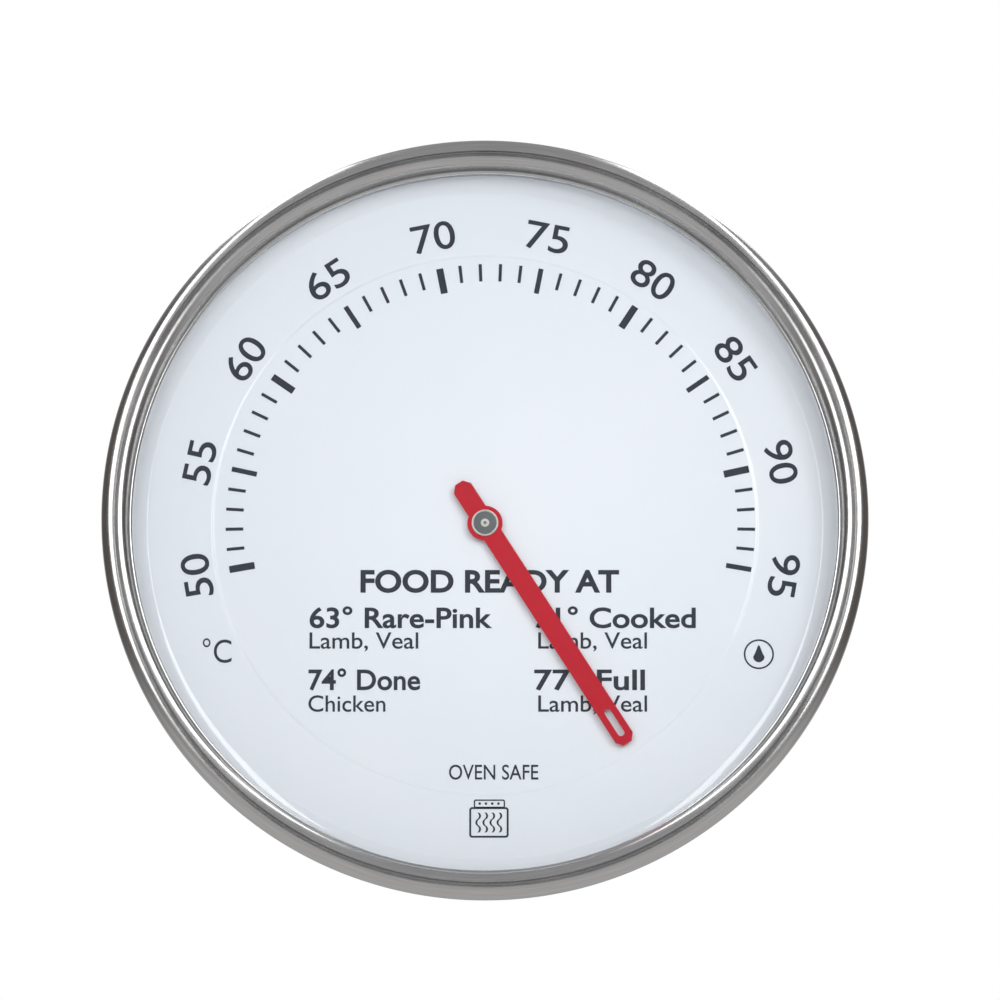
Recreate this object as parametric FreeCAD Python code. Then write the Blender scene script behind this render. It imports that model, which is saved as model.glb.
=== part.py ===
import FreeCAD
import Part

import math
import os

# A dial meat thermometer: a round steel head with a glass lens, and a thin pointed stem.
# Frame: the stem's axis is the Y axis. The dial faces -Y and the stem points along +Y.
# 12 o'clock on the dial is +Z. The origin is the stem shoulder, where the stem leaves its ferrule.
# Everything in the head is placed by its depth behind the crown of the bezel.

# Driving dimensions, in millimetres and degrees.
HEAD_DIAMETER = 76.0
HEAD_DEPTH = 13.5
FERRULE_LENGTH = 7.0
STEM_DIAMETER = 4.0
STEM_LENGTH = 115.0
STEM_WALL = 0.3
SHEET = 0.5
LENS_THICKNESS = 1.6
DIAL_SHEET = 0.4
GASKET_WALL = 0.5
SPINDLE_DIAMETER = 0.84
RUNNING_GAP = 0.05
END_PLAY = 0.3

# The bezel: two quarter rounds back to back with a narrow groove between them on the crown, a
# steep inner wall, and a lip on the glass.
BEZEL_RADIUS = HEAD_DIAMETER / 2
OUTER_ROUND = 1.2
INNER_ROUND = 1.25
CROWN_RADIUS = BEZEL_RADIUS - OUTER_ROUND
GROOVE_WIDTH = 0.3
GROOVE_FLOOR = 0.1
GROOVE_DEPTH = 0.32
INNER_CROWN_RADIUS = CROWN_RADIUS - GROOVE_WIDTH
INNER_CROWN_DEPTH = 0.1
INNER_WALL_RADIUS = 35.5
WINDOW_RADIUS = 34.95
LIP = 0.32
SKIRT_END = 2.6
SKIRT_TAPER = 0.4
CRIMP_ROUND = 0.8
CRIMP_GAP = 0.25
FOLD_GAP = 0.4

# Depths behind the crown of the bezel, and the parts stacked between bezel and case flange.
LENS_DEPTH = 2.9
LENS_BACK = LENS_DEPTH + LENS_THICKNESS
DIAL_FLANGE_DEPTH = LENS_BACK + GASKET_WALL
CASE_FLANGE_DEPTH = DIAL_FLANGE_DEPTH + DIAL_SHEET
CRIMP_DEPTH = CASE_FLANGE_DEPTH + SHEET
FLANGE_RADIUS = 36.9
LENS_RADIUS = FLANGE_RADIUS - 0.6
LENS_CHAMFER = 0.2
GASKET_FRONT_LAP = 0.25
GASKET_BACK_LAP = 0.7

# The dial's pressed steps: a centre plateau, a flat ring round it, and a rim that bends forward
# sharply and then sweeps up to the flange. Turns are how far the sheet has tipped, in degrees.
DIAL_DEPTH = 6.2
PLATEAU_RISE = 0.1
PLATEAU_RADIUS = 27.1
STEP_WIDTH = 0.4
RIM_START_RADIUS = 33.4
RIM_BEND = 0.7
RIM_BEND_TURN = 28.0
RIM_END_TURN = 52.0
DIAL_HOLE_RADIUS = 1.5

# The case: a drawn cup with a rounded back edge and a shallow recess in its back.
CASE_RADIUS = 36.2
CASE_CORNER = 3.5
CASE_BEND = 0.2
RECESS_RADIUS = 25.0
RECESS_DEPTH = 0.6
RECESS_SLOPE = 1.0

# The ferrule, its nut and its washer.
NECK_RADIUS = 3.0
NECK_CLEARANCE = 0.05
FERRULE_FLANGE_RADIUS = 6.0
FERRULE_FLANGE = 1.6
FERRULE_BODY_RADIUS = 4.5
FERRULE_NOSE = 1.8
FERRULE_EDGE = 0.3
FERRULE_BORE_RADIUS = 1.3
SPIGOT_LENGTH = 6.0
WASHER_THICKNESS = 0.5
NUT_ACROSS_FLATS = 9.0
NUT_THICKNESS = 2.0
NUT_CORNERS = 6
NECK_BEYOND_NUT = 0.5

# The pointer, drawn along +X and then turned to where it stands at room temperature.
POINTER_REACH = 26.2
POINTER_TAIL = 4.8
POINTER_WIDTH = 2.0
POINTER_SHEET = 0.25
POINTER_DEPTH = 5.05
POINTER_CLIP_ALONG = 0.65
POINTER_CLIP_ACROSS = 0.55
POINTER_BOSS_RADIUS = 1.75
SLOT_CENTRE = 23.75
SLOT_LENGTH = 3.1
SLOT_WIDTH = 0.7
HUB_TOP_DEPTH = 4.75
HUB_BOTTOM_DEPTH = 7.2
HUB_HEAD_RADIUS = 1.33
HUB_RIM_WALL = 0.2
HUB_RECESS = 0.1
HUB_EDGE = 0.06
HUB_NECK_RADIUS = 0.9
HUB_BARREL_RADIUS = 1.05
DIMPLE_RADIUS = 0.16
DIMPLE_DEPTH = 0.18
SPINDLE_EDGE = 0.05

# The scale: where the pointer stands for a temperature, clockwise from 12 o'clock.
SCALE_MIDDLE_C = 72.5
DEGREES_PER_C = 4.44
REST_C = 24.6

# The movement inside the stem.
TIP_CONE = 7.0
TIP_PLUG = 3.5
TIP_NOSE_RADIUS = 0.3
PLUG_EDGE = 0.2
BUSH_LENGTH = 3.0
BUSH_CHAMFER = 0.15
MIDDLE_BUSH_Y = 25.0
LOWER_BUSH_Y = 56.0
COLLAR_LENGTH = 0.9
THRUST_COLLAR_RADIUS = 1.4
COIL_COLLAR_RADIUS = 1.35
COIL_RADIUS = 1.25
COIL_STRIP = 0.2
COIL_STRIP_WIDTH = 0.8
COIL_PITCH = 1.25
COIL_TURNS = 28
COIL_SEAT = 1.6
COIL_END_GAP = 0.1

# Places worked out from the values above.
CROWN_Y = -(FERRULE_LENGTH + HEAD_DEPTH)
STEM_RADIUS = STEM_DIAMETER / 2
BORE_RADIUS = STEM_RADIUS - STEM_WALL
SPINDLE_RADIUS = SPINDLE_DIAMETER / 2
SEAT_DEPTH = HEAD_DEPTH - RECESS_DEPTH
NECK_TOP_Y = CROWN_Y + SEAT_DEPTH - SHEET - NUT_THICKNESS - NECK_BEYOND_NUT
TIP_CONE_Y = STEM_LENGTH - TIP_CONE
COIL_HEIGHT = COIL_PITCH * COIL_TURNS
COIL_BOTTOM_Y = TIP_CONE_Y - TIP_PLUG - BUSH_LENGTH
COIL_TOP_Y = COIL_BOTTOM_Y - COIL_HEIGHT - COIL_STRIP_WIDTH
COIL_COLLAR_Y = COIL_TOP_Y - COIL_END_GAP - COLLAR_LENGTH

AXIS_START = FreeCAD.Vector(0, 0, 0)
ALONG_STEM = FreeCAD.Vector(0, 1, 0)


def behind(depth):
    """Return the Y of a depth behind the crown of the bezel."""
    return CROWN_Y + depth


def outline(start, *steps):
    """Return a closed face in the XY plane, X being the radius.

    A step is (radius, y) for a straight edge, or (radius, y, radius, y) for an arc through the
    first point to the second.
    """
    edges = []
    last = FreeCAD.Vector(start[0], start[1], 0)
    for step in steps + (start,):
        end = FreeCAD.Vector(step[-2], step[-1], 0)
        if len(step) == 4:
            middle = FreeCAD.Vector(step[0], step[1], 0)
            edges.append(Part.Arc(last, middle, end).toShape())
        else:
            edges.append(Part.LineSegment(last, end).toShape())
        last = end
    return Part.Face(Part.Wire(edges))


def turned(face):
    """Return the solid that a face makes when it is spun round the stem's axis."""
    return face.revolve(AXIS_START, ALONG_STEM, 360)


def disc(radius, low_y, high_y):
    """Return a plain cylinder on the stem's axis."""
    return Part.makeCylinder(radius, high_y - low_y, FreeCAD.Vector(0, low_y, 0), ALONG_STEM)


def ring(inner_radius, outer_radius, low_y, high_y):
    """Return a plain ring on the stem's axis."""
    return disc(outer_radius, low_y, high_y).cut(disc(inner_radius, low_y, high_y))


def bend(centre, size, start_turn, end_turn):
    """Return the outline step of an arc round a centre, given as radius and depth.

    Turns are in degrees: 0 is outward, 90 backward, 180 inward and 270 forward.
    """
    middle = math.radians((start_turn + end_turn) / 2)
    end = math.radians(end_turn)
    middle_y = behind(centre[1] + size * math.sin(middle))
    end_y = behind(centre[1] + size * math.sin(end))
    return (centre[0] + size * math.cos(middle), middle_y, centre[0] + size * math.cos(end), end_y)


def bezel_ring():
    """Rolled ring: tapered skirt, outer round, groove, inner round, steep wall and lip on the glass."""
    skirt_radius = BEZEL_RADIUS - SKIRT_TAPER
    inside = BEZEL_RADIUS - SHEET
    inner_centre = (INNER_CROWN_RADIUS, INNER_CROWN_DEPTH + INNER_ROUND)
    wall_turn = 180 + math.degrees(math.acos((INNER_CROWN_RADIUS - INNER_WALL_RADIUS) / INNER_ROUND))
    wall_start = inner_centre[1] + INNER_ROUND * math.sin(math.radians(wall_turn))
    groove_side = (GROOVE_WIDTH - GROOVE_FLOOR) / 2
    crimp_back = CRIMP_DEPTH + SHEET
    crimp_centre = (skirt_radius - CRIMP_ROUND, crimp_back - CRIMP_ROUND)
    face = outline(
        (WINDOW_RADIUS, behind(LENS_DEPTH)),
        bend((WINDOW_RADIUS + LIP, LENS_DEPTH), LIP, 180, 270),
        (INNER_WALL_RADIUS, behind(LENS_DEPTH - LIP)),
        (INNER_WALL_RADIUS, behind(wall_start)),
        bend(inner_centre, INNER_ROUND, wall_turn, 270),
        (INNER_CROWN_RADIUS + groove_side, behind(GROOVE_DEPTH)),
        (CROWN_RADIUS - groove_side, behind(GROOVE_DEPTH)),
        (CROWN_RADIUS, behind(0)),
        bend((CROWN_RADIUS, OUTER_ROUND), OUTER_ROUND, -90, 0),
        (BEZEL_RADIUS, behind(SKIRT_END)),
        (skirt_radius, behind(crimp_centre[1])),
        bend(crimp_centre, CRIMP_ROUND, 0, 90),
        (CASE_RADIUS + CRIMP_GAP, behind(crimp_back)),
        (CASE_RADIUS + CRIMP_GAP, behind(CRIMP_DEPTH)),
        (FLANGE_RADIUS + 0.02, behind(CRIMP_DEPTH)),
        (skirt_radius - SHEET, behind(CASE_FLANGE_DEPTH)),
        (inside, behind(SKIRT_END)),
        (inside, behind(OUTER_ROUND)),
        bend((CROWN_RADIUS, OUTER_ROUND), OUTER_ROUND - SHEET, 0, -90),
        (INNER_CROWN_RADIUS, behind(GROOVE_DEPTH + FOLD_GAP)),
        (INNER_WALL_RADIUS + SHEET, behind(inner_centre[1])),
        (INNER_WALL_RADIUS + SHEET, behind(LENS_DEPTH - GASKET_WALL)),
        (LENS_RADIUS - 2 * GASKET_FRONT_LAP, behind(LENS_DEPTH)),
    )
    return turned(face)


def glass_lens():
    """Flat glass disc with ground edges."""
    lens = disc(LENS_RADIUS, behind(LENS_DEPTH), behind(LENS_BACK))
    rims = [edge for edge in lens.Edges if edge.Curve.TypeId == "Part::GeomCircle"]
    return lens.makeChamfer(LENS_CHAMFER, rims)


def lens_gasket():
    """U-section ring that wraps the edge of the glass."""
    front = LENS_DEPTH - GASKET_WALL
    face = outline(
        (LENS_RADIUS - GASKET_FRONT_LAP, behind(front)),
        (FLANGE_RADIUS, behind(front)),
        (FLANGE_RADIUS, behind(DIAL_FLANGE_DEPTH)),
        (LENS_RADIUS - GASKET_BACK_LAP, behind(DIAL_FLANGE_DEPTH)),
        (LENS_RADIUS - GASKET_BACK_LAP, behind(LENS_BACK)),
        (LENS_RADIUS, behind(LENS_BACK)),
        (LENS_RADIUS, behind(LENS_DEPTH)),
        (LENS_RADIUS - GASKET_FRONT_LAP, behind(LENS_DEPTH)),
    )
    return turned(face)


def rim_sweep(sheet):
    """Return the centre and the size of the rim's long curve, on the back of a sheet's thickness.

    It starts where the short bend has turned the sheet, and ends at the front of the flange.
    """
    start = math.radians(RIM_BEND_TURN)
    end = math.radians(RIM_END_TURN)
    bend_centre = DIAL_DEPTH - RIM_BEND
    rise = bend_centre + RIM_BEND * math.cos(start) - DIAL_FLANGE_DEPTH
    front_size = rise / (math.cos(start) - math.cos(end))
    centre_radius = RIM_START_RADIUS - (front_size - RIM_BEND) * math.sin(start)
    centre_depth = bend_centre - (front_size - RIM_BEND) * math.cos(start)
    return (centre_radius, centre_depth), front_size + sheet


def dial_plate():
    """Pressed pan: plateau, step, flat ring, rim that turns forward, and a flange to clamp it by."""
    plateau = DIAL_DEPTH - PLATEAU_RISE
    half_step = STEP_WIDTH / 2
    step_bend = (STEP_WIDTH ** 2 + PLATEAU_RISE ** 2) / (4 * PLATEAU_RISE)
    step_turn = 2 * math.degrees(math.atan(PLATEAU_RISE / STEP_WIDTH))
    bend_centre = (RIM_START_RADIUS, DIAL_DEPTH - RIM_BEND)
    sweep_centre, sweep_front = rim_sweep(0)
    sweep_back = rim_sweep(DIAL_SHEET)[1]
    back_end_turn = math.degrees(math.asin((CASE_FLANGE_DEPTH - sweep_centre[1]) / sweep_back))
    back_end_radius = sweep_centre[0] + sweep_back * math.cos(math.radians(back_end_turn))
    face = outline(
        (DIAL_HOLE_RADIUS, behind(plateau)),
        (PLATEAU_RADIUS - half_step, behind(plateau)),
        bend((PLATEAU_RADIUS - half_step, plateau + step_bend), step_bend, -90, step_turn - 90),
        bend((PLATEAU_RADIUS + half_step, DIAL_DEPTH - step_bend), step_bend, 90 + step_turn, 90),
        (RIM_START_RADIUS, behind(DIAL_DEPTH)),
        bend(bend_centre, RIM_BEND, 90, 90 - RIM_BEND_TURN),
        bend(sweep_centre, sweep_front, 90 - RIM_BEND_TURN, 90 - RIM_END_TURN),
        (FLANGE_RADIUS, behind(DIAL_FLANGE_DEPTH)),
        (FLANGE_RADIUS, behind(CASE_FLANGE_DEPTH)),
        (back_end_radius, behind(CASE_FLANGE_DEPTH)),
        bend(sweep_centre, sweep_back, back_end_turn, 90 - RIM_BEND_TURN),
        bend(bend_centre, RIM_BEND + DIAL_SHEET, 90 - RIM_BEND_TURN, 90),
        (PLATEAU_RADIUS + half_step, behind(DIAL_DEPTH + DIAL_SHEET)),
        (PLATEAU_RADIUS - half_step, behind(plateau + DIAL_SHEET)),
        (DIAL_HOLE_RADIUS, behind(plateau + DIAL_SHEET)),
    )
    return turned(face)


def rear_case():
    """Drawn cup with a front flange, a rounded back edge, a recessed back and a hole for the neck."""
    inner = CASE_RADIUS - SHEET
    corner = (CASE_RADIUS - CASE_CORNER, HEAD_DEPTH - CASE_CORNER)
    front_bend = (CASE_RADIUS + CASE_BEND, CRIMP_DEPTH + CASE_BEND)
    hole = NECK_RADIUS + NECK_CLEARANCE
    half_sheet = SHEET / 2
    face = outline(
        (FLANGE_RADIUS, behind(CASE_FLANGE_DEPTH)),
        (front_bend[0], behind(CASE_FLANGE_DEPTH)),
        bend(front_bend, CASE_BEND + SHEET, 270, 180),
        (inner, behind(corner[1])),
        bend(corner, CASE_CORNER - SHEET, 0, 90),
        (RECESS_RADIUS, behind(HEAD_DEPTH - SHEET)),
        (RECESS_RADIUS - RECESS_SLOPE, behind(SEAT_DEPTH - SHEET)),
        (hole, behind(SEAT_DEPTH - SHEET)),
        (hole, behind(SEAT_DEPTH)),
        (RECESS_RADIUS - RECESS_SLOPE + half_sheet, behind(SEAT_DEPTH)),
        (RECESS_RADIUS + half_sheet, behind(HEAD_DEPTH)),
        (corner[0], behind(HEAD_DEPTH)),
        bend(corner, CASE_CORNER, 90, 0),
        (CASE_RADIUS, behind(front_bend[1])),
        bend(front_bend, CASE_BEND, 180, 270),
        (FLANGE_RADIUS, behind(CRIMP_DEPTH)),
    )
    return turned(face)


def seal_washer():
    """Flat washer between the back of the case and the ferrule."""
    seat = behind(SEAT_DEPTH)
    return ring(NECK_RADIUS + NECK_CLEARANCE, FERRULE_FLANGE_RADIUS - 0.4, seat, seat + WASHER_THICKNESS)


def stem_ferrule():
    """Turned bush: neck through the case, flange on the washer, round nose, and spigot in the tube."""
    shoulder = behind(SEAT_DEPTH) + WASHER_THICKNESS
    flange_end = shoulder + FERRULE_FLANGE
    end_depth = HEAD_DEPTH + FERRULE_LENGTH
    nose_centre = (FERRULE_BODY_RADIUS - FERRULE_NOSE, end_depth - FERRULE_NOSE)
    face = outline(
        (FERRULE_BORE_RADIUS, NECK_TOP_Y),
        (NECK_RADIUS - FERRULE_EDGE, NECK_TOP_Y),
        (NECK_RADIUS, NECK_TOP_Y + FERRULE_EDGE),
        (NECK_RADIUS, shoulder),
        (FERRULE_FLANGE_RADIUS - FERRULE_EDGE, shoulder),
        (FERRULE_FLANGE_RADIUS, shoulder + FERRULE_EDGE),
        (FERRULE_FLANGE_RADIUS, flange_end - FERRULE_EDGE),
        (FERRULE_FLANGE_RADIUS - FERRULE_EDGE, flange_end),
        (FERRULE_BODY_RADIUS + FERRULE_EDGE, flange_end),
        (FERRULE_BODY_RADIUS, flange_end + FERRULE_EDGE),
        (FERRULE_BODY_RADIUS, behind(nose_centre[1])),
        bend(nose_centre, FERRULE_NOSE, 0, 90),
        (BORE_RADIUS, 0),
        (BORE_RADIUS, SPIGOT_LENGTH),
        (FERRULE_BORE_RADIUS, SPIGOT_LENGTH),
    )
    return turned(face)


def ferrule_nut():
    """Thin hexagon nut inside the case, with its corners turned down."""
    back = behind(SEAT_DEPTH) - SHEET
    corner = NUT_ACROSS_FLATS / math.sqrt(3)
    points = []
    for number in range(NUT_CORNERS + 1):
        turn = math.tau * number / NUT_CORNERS
        across, up = corner * math.cos(turn), corner * math.sin(turn)
        points.append(FreeCAD.Vector(across, back - NUT_THICKNESS, up))
    hexagon = Part.Face(Part.makePolygon(points)).extrude(ALONG_STEM * NUT_THICKNESS)
    bulge = corner - NUT_ACROSS_FLATS / 2
    crown = outline(
        (NECK_RADIUS, back - NUT_THICKNESS),
        (NUT_ACROSS_FLATS / 2, back - NUT_THICKNESS),
        (corner, back - NUT_THICKNESS + bulge / 2),
        (corner, back),
        (NECK_RADIUS, back),
    )
    return hexagon.common(turned(crown))


def stem_tube():
    """Drawn tube, from the ferrule, where it is brazed over the spigot, to the root of the point."""
    return ring(BORE_RADIUS, STEM_RADIUS, 0, TIP_CONE_Y)


def stem_tip():
    """Solid point: a plug seated in the tube, and a cone that runs smoothly into a small round nose."""
    plug_y = TIP_CONE_Y - TIP_PLUG
    nose_y = STEM_LENGTH - TIP_NOSE_RADIUS
    cone_length = nose_y - TIP_CONE_Y
    touch = math.acos(TIP_NOSE_RADIUS / math.hypot(STEM_RADIUS, cone_length))
    touch -= math.atan2(cone_length, STEM_RADIUS)
    touch_point = (TIP_NOSE_RADIUS * math.cos(touch), nose_y + TIP_NOSE_RADIUS * math.sin(touch))
    face = outline(
        (0, plug_y),
        (BORE_RADIUS - PLUG_EDGE, plug_y),
        (BORE_RADIUS, plug_y + PLUG_EDGE),
        (BORE_RADIUS, TIP_CONE_Y),
        (STEM_RADIUS, TIP_CONE_Y),
        touch_point,
        bend((0, nose_y - CROWN_Y), TIP_NOSE_RADIUS, math.degrees(touch), 90),
    )
    return turned(face)


def guide_bush(radius, low_y):
    """Plain bearing of the spindle, pressed in a bore of the radius given."""
    bush = ring(SPINDLE_RADIUS + RUNNING_GAP, radius, low_y, low_y + BUSH_LENGTH)
    rounds = [edge for edge in bush.Edges if edge.Curve.TypeId == "Part::GeomCircle"]
    rims = [edge for edge in rounds if edge.Curve.Radius > SPINDLE_RADIUS + RUNNING_GAP]
    return bush.makeChamfer(BUSH_CHAMFER, rims)


def bimetal_coil():
    """Helix of flat strip, wound round the seats on the collar and the anchor."""
    helix = Part.makeHelix(COIL_PITCH, COIL_HEIGHT, COIL_RADIUS)
    half_thickness = COIL_STRIP / 2
    half_width = COIL_STRIP_WIDTH / 2
    corners = [(-1, -1), (1, -1), (1, 1), (-1, 1), (-1, -1)]
    section = []
    for across, along in corners:
        section.append(FreeCAD.Vector(COIL_RADIUS + across * half_thickness, 0, along * half_width))
    strip = helix.makePipeShell([Part.makePolygon(section)], True, True)
    strip.rotate(AXIS_START, FreeCAD.Vector(1, 0, 0), -90)
    strip.translate(FreeCAD.Vector(0, COIL_TOP_Y + half_width, 0))
    return strip


def coil_anchor():
    """Plug pressed in the tube, with a stub that the coil's lower end is welded to."""
    stub_radius = COIL_RADIUS - COIL_STRIP / 2
    plug = disc(BORE_RADIUS, COIL_BOTTOM_Y, COIL_BOTTOM_Y + BUSH_LENGTH)
    return plug.fuse(disc(stub_radius, COIL_BOTTOM_Y - COIL_SEAT, COIL_BOTTOM_Y)).removeSplitter()


def coil_collar():
    """Collar fixed on the spindle, with a stub that the coil's upper end is held on."""
    stub_radius = COIL_RADIUS - COIL_STRIP / 2 - COIL_END_GAP
    flange = ring(SPINDLE_RADIUS, COIL_COLLAR_RADIUS, COIL_COLLAR_Y, COIL_COLLAR_Y + COLLAR_LENGTH)
    stub_y = COIL_COLLAR_Y + COLLAR_LENGTH
    stub = ring(SPINDLE_RADIUS, stub_radius, stub_y, stub_y + COIL_SEAT)
    return flange.fuse(stub).removeSplitter()


def thrust_collar():
    """Collar on the spindle that rests on the upper bush."""
    end_y = NECK_TOP_Y - END_PLAY
    return ring(SPINDLE_RADIUS, THRUST_COLLAR_RADIUS, end_y - COLLAR_LENGTH, end_y)


def spindle():
    """Thin shaft from the hub to the coil, centre-drilled at its front end."""
    front = behind(HUB_TOP_DEPTH + HUB_RECESS / 2)
    end = COIL_COLLAR_Y + COLLAR_LENGTH + COIL_SEAT
    face = outline(
        (0, front + DIMPLE_DEPTH),
        (DIMPLE_RADIUS, front),
        (SPINDLE_RADIUS - SPINDLE_EDGE, front),
        (SPINDLE_RADIUS, front + SPINDLE_EDGE),
        (SPINDLE_RADIUS, end - SPINDLE_EDGE),
        (SPINDLE_RADIUS - SPINDLE_EDGE, end),
        (0, end),
    )
    return turned(face)


def turned_to_rest(shape):
    """Turn a shape drawn along +X to where the pointer stands at room temperature."""
    clockwise_from_top = (REST_C - SCALE_MIDDLE_C) * DEGREES_PER_C
    shape.rotate(AXIS_START, ALONG_STEM, clockwise_from_top - 90)
    return shape


def pointer_outline():
    """Flat blade with clipped ends, as a face at the blade's front plane."""
    half = POINTER_WIDTH / 2
    flat = half - POINTER_CLIP_ACROSS
    tip_side = POINTER_REACH - POINTER_CLIP_ALONG
    tail_side = POINTER_TAIL - POINTER_CLIP_ALONG
    upper = [(-POINTER_TAIL, flat), (-tail_side, half), (tip_side, half), (POINTER_REACH, flat)]
    lower = [(along, -across) for along, across in reversed(upper)]
    corners = upper + lower + upper[:1]
    plane = behind(POINTER_DEPTH)
    return Part.Face(Part.makePolygon([FreeCAD.Vector(along, plane, across) for along, across in corners]))


def pointer_slot():
    """Slot near the tip, through the blade."""
    low = behind(POINTER_DEPTH) - 1
    half = (SLOT_LENGTH - SLOT_WIDTH) / 2
    corner = FreeCAD.Vector(SLOT_CENTRE - half, low, -SLOT_WIDTH / 2)
    slot = Part.makeBox(2 * half, 2, SLOT_WIDTH, corner)
    for side in (-half, half):
        place = FreeCAD.Vector(SLOT_CENTRE + side, low, 0)
        slot = slot.fuse(Part.makeCylinder(SLOT_WIDTH / 2, 2, place, ALONG_STEM))
    return slot


def pointer_blade():
    """Sheet pointer with a round boss for the hub and a slot near its tip."""
    blade = pointer_outline().extrude(ALONG_STEM * POINTER_SHEET)
    boss = disc(POINTER_BOSS_RADIUS, behind(POINTER_DEPTH), behind(POINTER_DEPTH + POINTER_SHEET))
    hole = disc(HUB_NECK_RADIUS, behind(POINTER_DEPTH) - 1, behind(POINTER_DEPTH) + 1)
    blade = blade.fuse(boss).removeSplitter().cut(hole).cut(pointer_slot())
    return turned_to_rest(blade)


def pointer_hub():
    """Riveted bush: head with a raised rim, neck in the blade, and a barrel on the spindle."""
    head_back = behind(POINTER_DEPTH)
    blade_back = head_back + POINTER_SHEET
    rim_inside = HUB_HEAD_RADIUS - HUB_RIM_WALL
    face = outline(
        (SPINDLE_RADIUS, behind(HUB_TOP_DEPTH + HUB_RECESS)),
        (rim_inside, behind(HUB_TOP_DEPTH + HUB_RECESS)),
        (rim_inside + HUB_EDGE, behind(HUB_TOP_DEPTH)),
        (HUB_HEAD_RADIUS - HUB_EDGE, behind(HUB_TOP_DEPTH)),
        (HUB_HEAD_RADIUS, behind(HUB_TOP_DEPTH + HUB_EDGE)),
        (HUB_HEAD_RADIUS, head_back),
        (HUB_NECK_RADIUS, head_back),
        (HUB_NECK_RADIUS, blade_back),
        (HUB_BARREL_RADIUS, blade_back),
        (HUB_BARREL_RADIUS, behind(HUB_BOTTOM_DEPTH)),
        (SPINDLE_RADIUS, behind(HUB_BOTTOM_DEPTH)),
    )
    return turned(face)


PIECES = {
    "bezel_ring": bezel_ring(),
    "glass_lens": glass_lens(),
    "lens_gasket": lens_gasket(),
    "dial_plate": dial_plate(),
    "rear_case": rear_case(),
    "seal_washer": seal_washer(),
    "stem_ferrule": stem_ferrule(),
    "ferrule_nut": ferrule_nut(),
    "stem_tube": stem_tube(),
    "stem_tip": stem_tip(),
    "upper_guide_bush": guide_bush(FERRULE_BORE_RADIUS, NECK_TOP_Y),
    "middle_guide_bush": guide_bush(BORE_RADIUS, MIDDLE_BUSH_Y),
    "lower_guide_bush": guide_bush(BORE_RADIUS, LOWER_BUSH_Y),
    "bimetal_coil": bimetal_coil(),
    "coil_anchor": coil_anchor(),
    "coil_collar": coil_collar(),
    "thrust_collar": thrust_collar(),
    "spindle": spindle(),
    "pointer_blade": pointer_blade(),
    "pointer_hub": pointer_hub(),
}

os.makedirs("parts", exist_ok=True)
for name, shape in PIECES.items():
    shape.exportStep(os.path.join("parts", name + ".step"))
    print(name, "valid" if shape.isValid() else "INVALID", round(shape.Volume, 2), len(shape.Solids))
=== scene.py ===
import math

import bmesh
import bpy
from mathutils import Matrix, Vector


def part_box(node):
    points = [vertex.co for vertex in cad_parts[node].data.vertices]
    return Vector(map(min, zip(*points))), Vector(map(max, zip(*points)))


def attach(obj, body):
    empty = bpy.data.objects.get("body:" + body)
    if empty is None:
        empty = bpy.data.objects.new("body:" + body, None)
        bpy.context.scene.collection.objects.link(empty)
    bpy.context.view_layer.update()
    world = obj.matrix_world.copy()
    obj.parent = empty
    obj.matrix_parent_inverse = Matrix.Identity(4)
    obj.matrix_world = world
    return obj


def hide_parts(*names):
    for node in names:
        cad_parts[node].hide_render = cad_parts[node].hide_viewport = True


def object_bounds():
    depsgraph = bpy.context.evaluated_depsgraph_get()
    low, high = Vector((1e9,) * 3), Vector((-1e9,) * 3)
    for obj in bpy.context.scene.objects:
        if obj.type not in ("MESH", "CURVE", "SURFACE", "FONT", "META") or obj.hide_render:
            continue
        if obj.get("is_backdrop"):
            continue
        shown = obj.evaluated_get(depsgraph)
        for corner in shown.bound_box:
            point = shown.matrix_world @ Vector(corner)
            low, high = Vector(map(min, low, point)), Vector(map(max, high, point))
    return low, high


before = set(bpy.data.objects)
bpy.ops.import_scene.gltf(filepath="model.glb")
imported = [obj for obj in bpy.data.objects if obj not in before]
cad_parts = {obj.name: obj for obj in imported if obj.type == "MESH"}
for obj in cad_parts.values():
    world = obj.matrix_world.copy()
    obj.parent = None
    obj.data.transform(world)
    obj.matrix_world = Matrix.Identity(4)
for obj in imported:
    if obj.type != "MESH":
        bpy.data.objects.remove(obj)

MM = 0.001
cad_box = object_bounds()

# ---------------------------------------------------------------------------------------------
# Camera. A long lens a little below the dial's axis, so the head shows almost face on, with the
# top of the bezel's inner wall open to view.
# ---------------------------------------------------------------------------------------------
CAMERA_ELEVATION = math.radians(-9.0)
CAMERA_DISTANCE = 1.2
FRAME_WIDTH = 99.1 * MM
AIM_RIGHT = 1.49 * MM
AIM_UP = 1.85 * MM
RIM_DEPTH = 1.7 * MM
SENSOR = 36.0

crown_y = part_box("bezel_ring")[0].y
away = Vector((0, -math.cos(CAMERA_ELEVATION), math.sin(CAMERA_ELEVATION)))
picture_up = Vector((0, math.sin(CAMERA_ELEVATION), math.cos(CAMERA_ELEVATION)))
aim = Vector((AIM_RIGHT, crown_y + RIM_DEPTH, 0)) + picture_up * AIM_UP
camera = bpy.data.objects.new("camera", bpy.data.cameras.new("camera"))
camera.location = aim + away * CAMERA_DISTANCE
camera.rotation_euler = away.to_track_quat("Z", "Y").to_euler()
camera.data.sensor_width = SENSOR
camera.data.lens = SENSOR * CAMERA_DISTANCE / FRAME_WIDTH
bpy.context.scene.collection.objects.link(camera)
bpy.context.scene.camera = camera
bpy.context.scene.view_settings.view_transform = "Standard"

# ---------------------------------------------------------------------------------------------
# Studio. Big soft lamps in front light the dial evenly. A bright card arches over the head on
# each side, with a dim gap between the two, which polished steel needs to show its form.
# ---------------------------------------------------------------------------------------------
FLOOR_Z = -0.26
FLOOR_HALF = 6.0
CARD_DISTANCE = 0.8
head_centre = Vector((0, crown_y, 0))


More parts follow.
